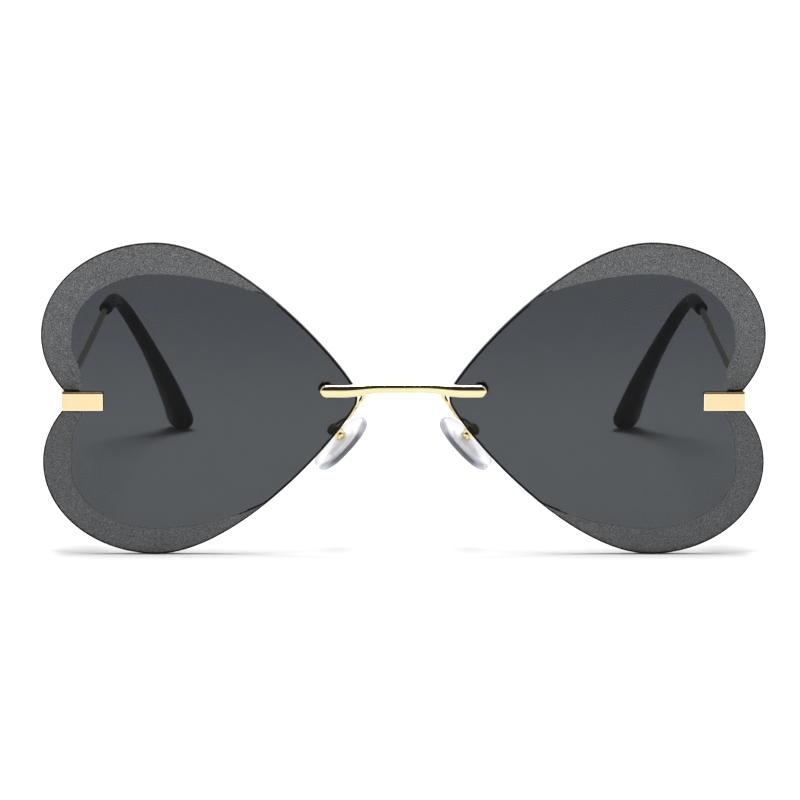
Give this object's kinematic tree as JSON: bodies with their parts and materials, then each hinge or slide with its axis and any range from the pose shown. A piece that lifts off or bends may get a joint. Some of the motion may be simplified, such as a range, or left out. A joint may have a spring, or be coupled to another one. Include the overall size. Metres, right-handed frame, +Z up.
{
  "type": "rimless heart shaped sunglasses",
  "caption": "Rimless sunglasses with flat, sideways heart lenses with a frosted edge, a gold bridge bar, wire temples that fold and clear nose pads.",
  "frame": {"origin": "on the floor, under the middle of the bounding box: the part stands on the lower lobes of its lenses and on its temple tips", "axes": "+X is the right side in a view from the front, which the nodes named right are on and which is at the wearer's left hand; +Y from the lenses back along the temples, +Z up; the wearer looks along -Y"},
  "size_m": [0.15, 0.142, 0.0659],
  "materials": {
    "tinted_lens": "grey tint, glossy, with a frosted ground bevel",
    "gold": "pale gold plate, polished",
    "clear_plastic": "clear, polished",
    "silicone": "clear, soft, slightly satin",
    "black_plastic": "black acetate, satin gloss"
  },
  "bodies": {
    "root": {"lens_left": "tinted_lens", "lens_right": "tinted_lens", "bridge": "gold", "mount_studs": "gold", "lens_bushings": "clear_plastic", "mount_washers": "gold", "cap_nuts": "gold", "pad_arm_left": "gold", "pad_arm_right": "gold", "pad_box_left": "gold", "pad_box_right": "gold", "pad_screws": "gold", "end_piece_left": "gold", "end_piece_right": "gold", "front_hinge_left": "gold", "front_hinge_right": "gold", "hinge_screws": "gold"},
    "pad_left": {"nose_pad_left": "silicone", "pad_core_left": "clear_plastic"},
    "pad_right": {"nose_pad_right": "silicone", "pad_core_right": "clear_plastic"},
    "temple_left": {"temple_hinge_left": "gold", "temple_wire_left": "gold", "temple_tip_left": "black_plastic"},
    "temple_right": {"temple_hinge_right": "gold", "temple_wire_right": "gold", "temple_tip_right": "black_plastic"}
  },
  "joints": [
    {"name": "temple_fold_left", "type": "hinge", "parent": "root", "child": "temple_left", "pos_m": [-0.06917, -0.06059, 0.0326], "axis": [0.061, 0, -0.9981], "range_deg": [0, 82]},
    {"name": "temple_fold_right", "type": "hinge", "parent": "root", "child": "temple_right", "pos_m": [0.06917, -0.06059, 0.0326], "axis": [0.061, 0, 0.9981], "range_deg": [0, 78]},
    {"name": "pad_rock_left", "type": "hinge", "parent": "root", "child": "pad_left", "pos_m": [-0.01348, -0.0607, 0.02407], "axis": [-0.3597, 0.866, 0.3473], "range_deg": [-12, 12]},
    {"name": "pad_rock_right", "type": "hinge", "parent": "root", "child": "pad_right", "pos_m": [0.01348, -0.0607, 0.02407], "axis": [0.3597, 0.866, 0.3473], "range_deg": [-12, 12]}
  ]
}
